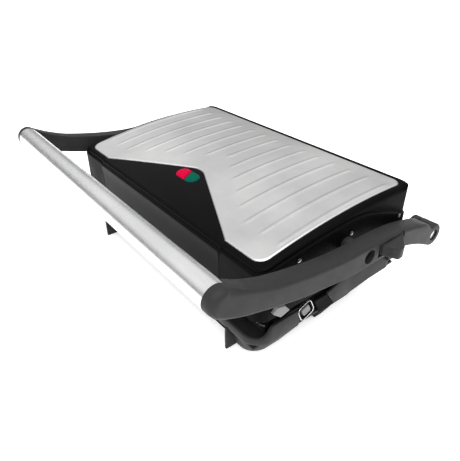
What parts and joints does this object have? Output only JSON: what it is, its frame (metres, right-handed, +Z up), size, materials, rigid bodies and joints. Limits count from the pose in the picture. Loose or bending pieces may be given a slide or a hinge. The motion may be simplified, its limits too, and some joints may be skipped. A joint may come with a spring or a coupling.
{
  "type": "panini press",
  "caption": "Closed panini press: ribbed steel lid with a glossy front panel and indicator lens, floating between arms with a tubular handle, over a footed grill base.",
  "frame": {"origin": "centre of the bounding box's bottom face, on the floor the feet stand on", "axes": "+X to the user's right, +Y to the rear hinge, +Z up; the handle is at -Y"},
  "size_m": [0.3242, 0.2288, 0.1133],
  "materials": {
    "black_plastic": "fine satin moulding",
    "gloss_black": "high gloss",
    "steel": "fine brushed",
    "brushed_aluminium": "brushed round the tube",
    "grey_plastic": "fine matte texture",
    "light_grey_plastic": "satin",
    "red_lens": "clear red",
    "green_lens": "clear green",
    "lamp_glass": "clear",
    "ceramic": "matte",
    "grill_coating": "non-stick coating",
    "heater_sheath": "dull",
    "reflector": "bright",
    "screw_steel": "plated",
    "pin_steel": "turned",
    "brass": "bright",
    "rubber": "matte",
    "chrome": "polished"
  },
  "bodies": {
    "base": {"base_shell": "grey_plastic", "bottom_cover": "black_plastic", "lower_plate": "grill_coating", "lower_heater": "heater_sheath", "lower_reflector": "reflector", "hinge_pins": "pin_steel", "hinge_clips": "screw_steel", "rear_feet": "rubber", "base_screws": "screw_steel", "terminal_block": "ceramic", "terminal_screws": "brass", "cord_inlet": "black_plastic", "latch_bezel": "chrome"},
    "handle": {"left_arm": "grey_plastic", "right_arm": "grey_plastic", "handle_tube": "brushed_aluminium", "tube_plugs": "black_plastic", "tube_screws": "screw_steel", "pivot_studs": "pin_steel", "lever_spring": "screw_steel"},
    "lid": {"top_shell": "black_plastic", "steel_cover": "steel", "front_panel": "gloss_black", "lens_red": "red_lens", "lens_green": "green_lens", "lamps": "lamp_glass", "lamp_holder": "ceramic", "upper_plate": "grill_coating", "upper_heater": "heater_sheath", "upper_reflector": "reflector", "thermostat": "ceramic", "thermal_fuse": "brass", "skirt_screws": "screw_steel", "plate_studs": "screw_steel", "latch_catch": "light_grey_plastic"},
    "lever": {"release_lever": "grey_plastic"},
    "latch": {"latch_slide": "light_grey_plastic"},
    "tray": {"drip_tray": "black_plastic"}
  },
  "joints": [
    {"name": "handle_hinge", "type": "hinge", "parent": "base", "child": "handle", "pos_m": [-0.00535, 0.1049, 0.0635], "axis": [-1, 0, 0], "range_deg": [0, 180]},
    {"name": "lid_float", "type": "hinge", "parent": "handle", "child": "lid", "pos_m": [-0.00535, 0.0189, 0.08], "axis": [1, 0, 0], "range_deg": [-2, 2]},
    {"name": "lever_slide", "type": "slide", "parent": "handle", "child": "lever", "axis": [0, -1, 0], "range_m": [0, 0.003], "stiffness_N_per_m": 300},
    {"name": "latch_button", "type": "slide", "parent": "base", "child": "latch", "axis": [-0.9659, 0, -0.2588], "range_m": [0, 0.0028]},
    {"name": "tray_pull", "type": "slide", "parent": "base", "child": "tray", "axis": [0, -1, 0], "range_m": [0, 0.028]}
  ]
}
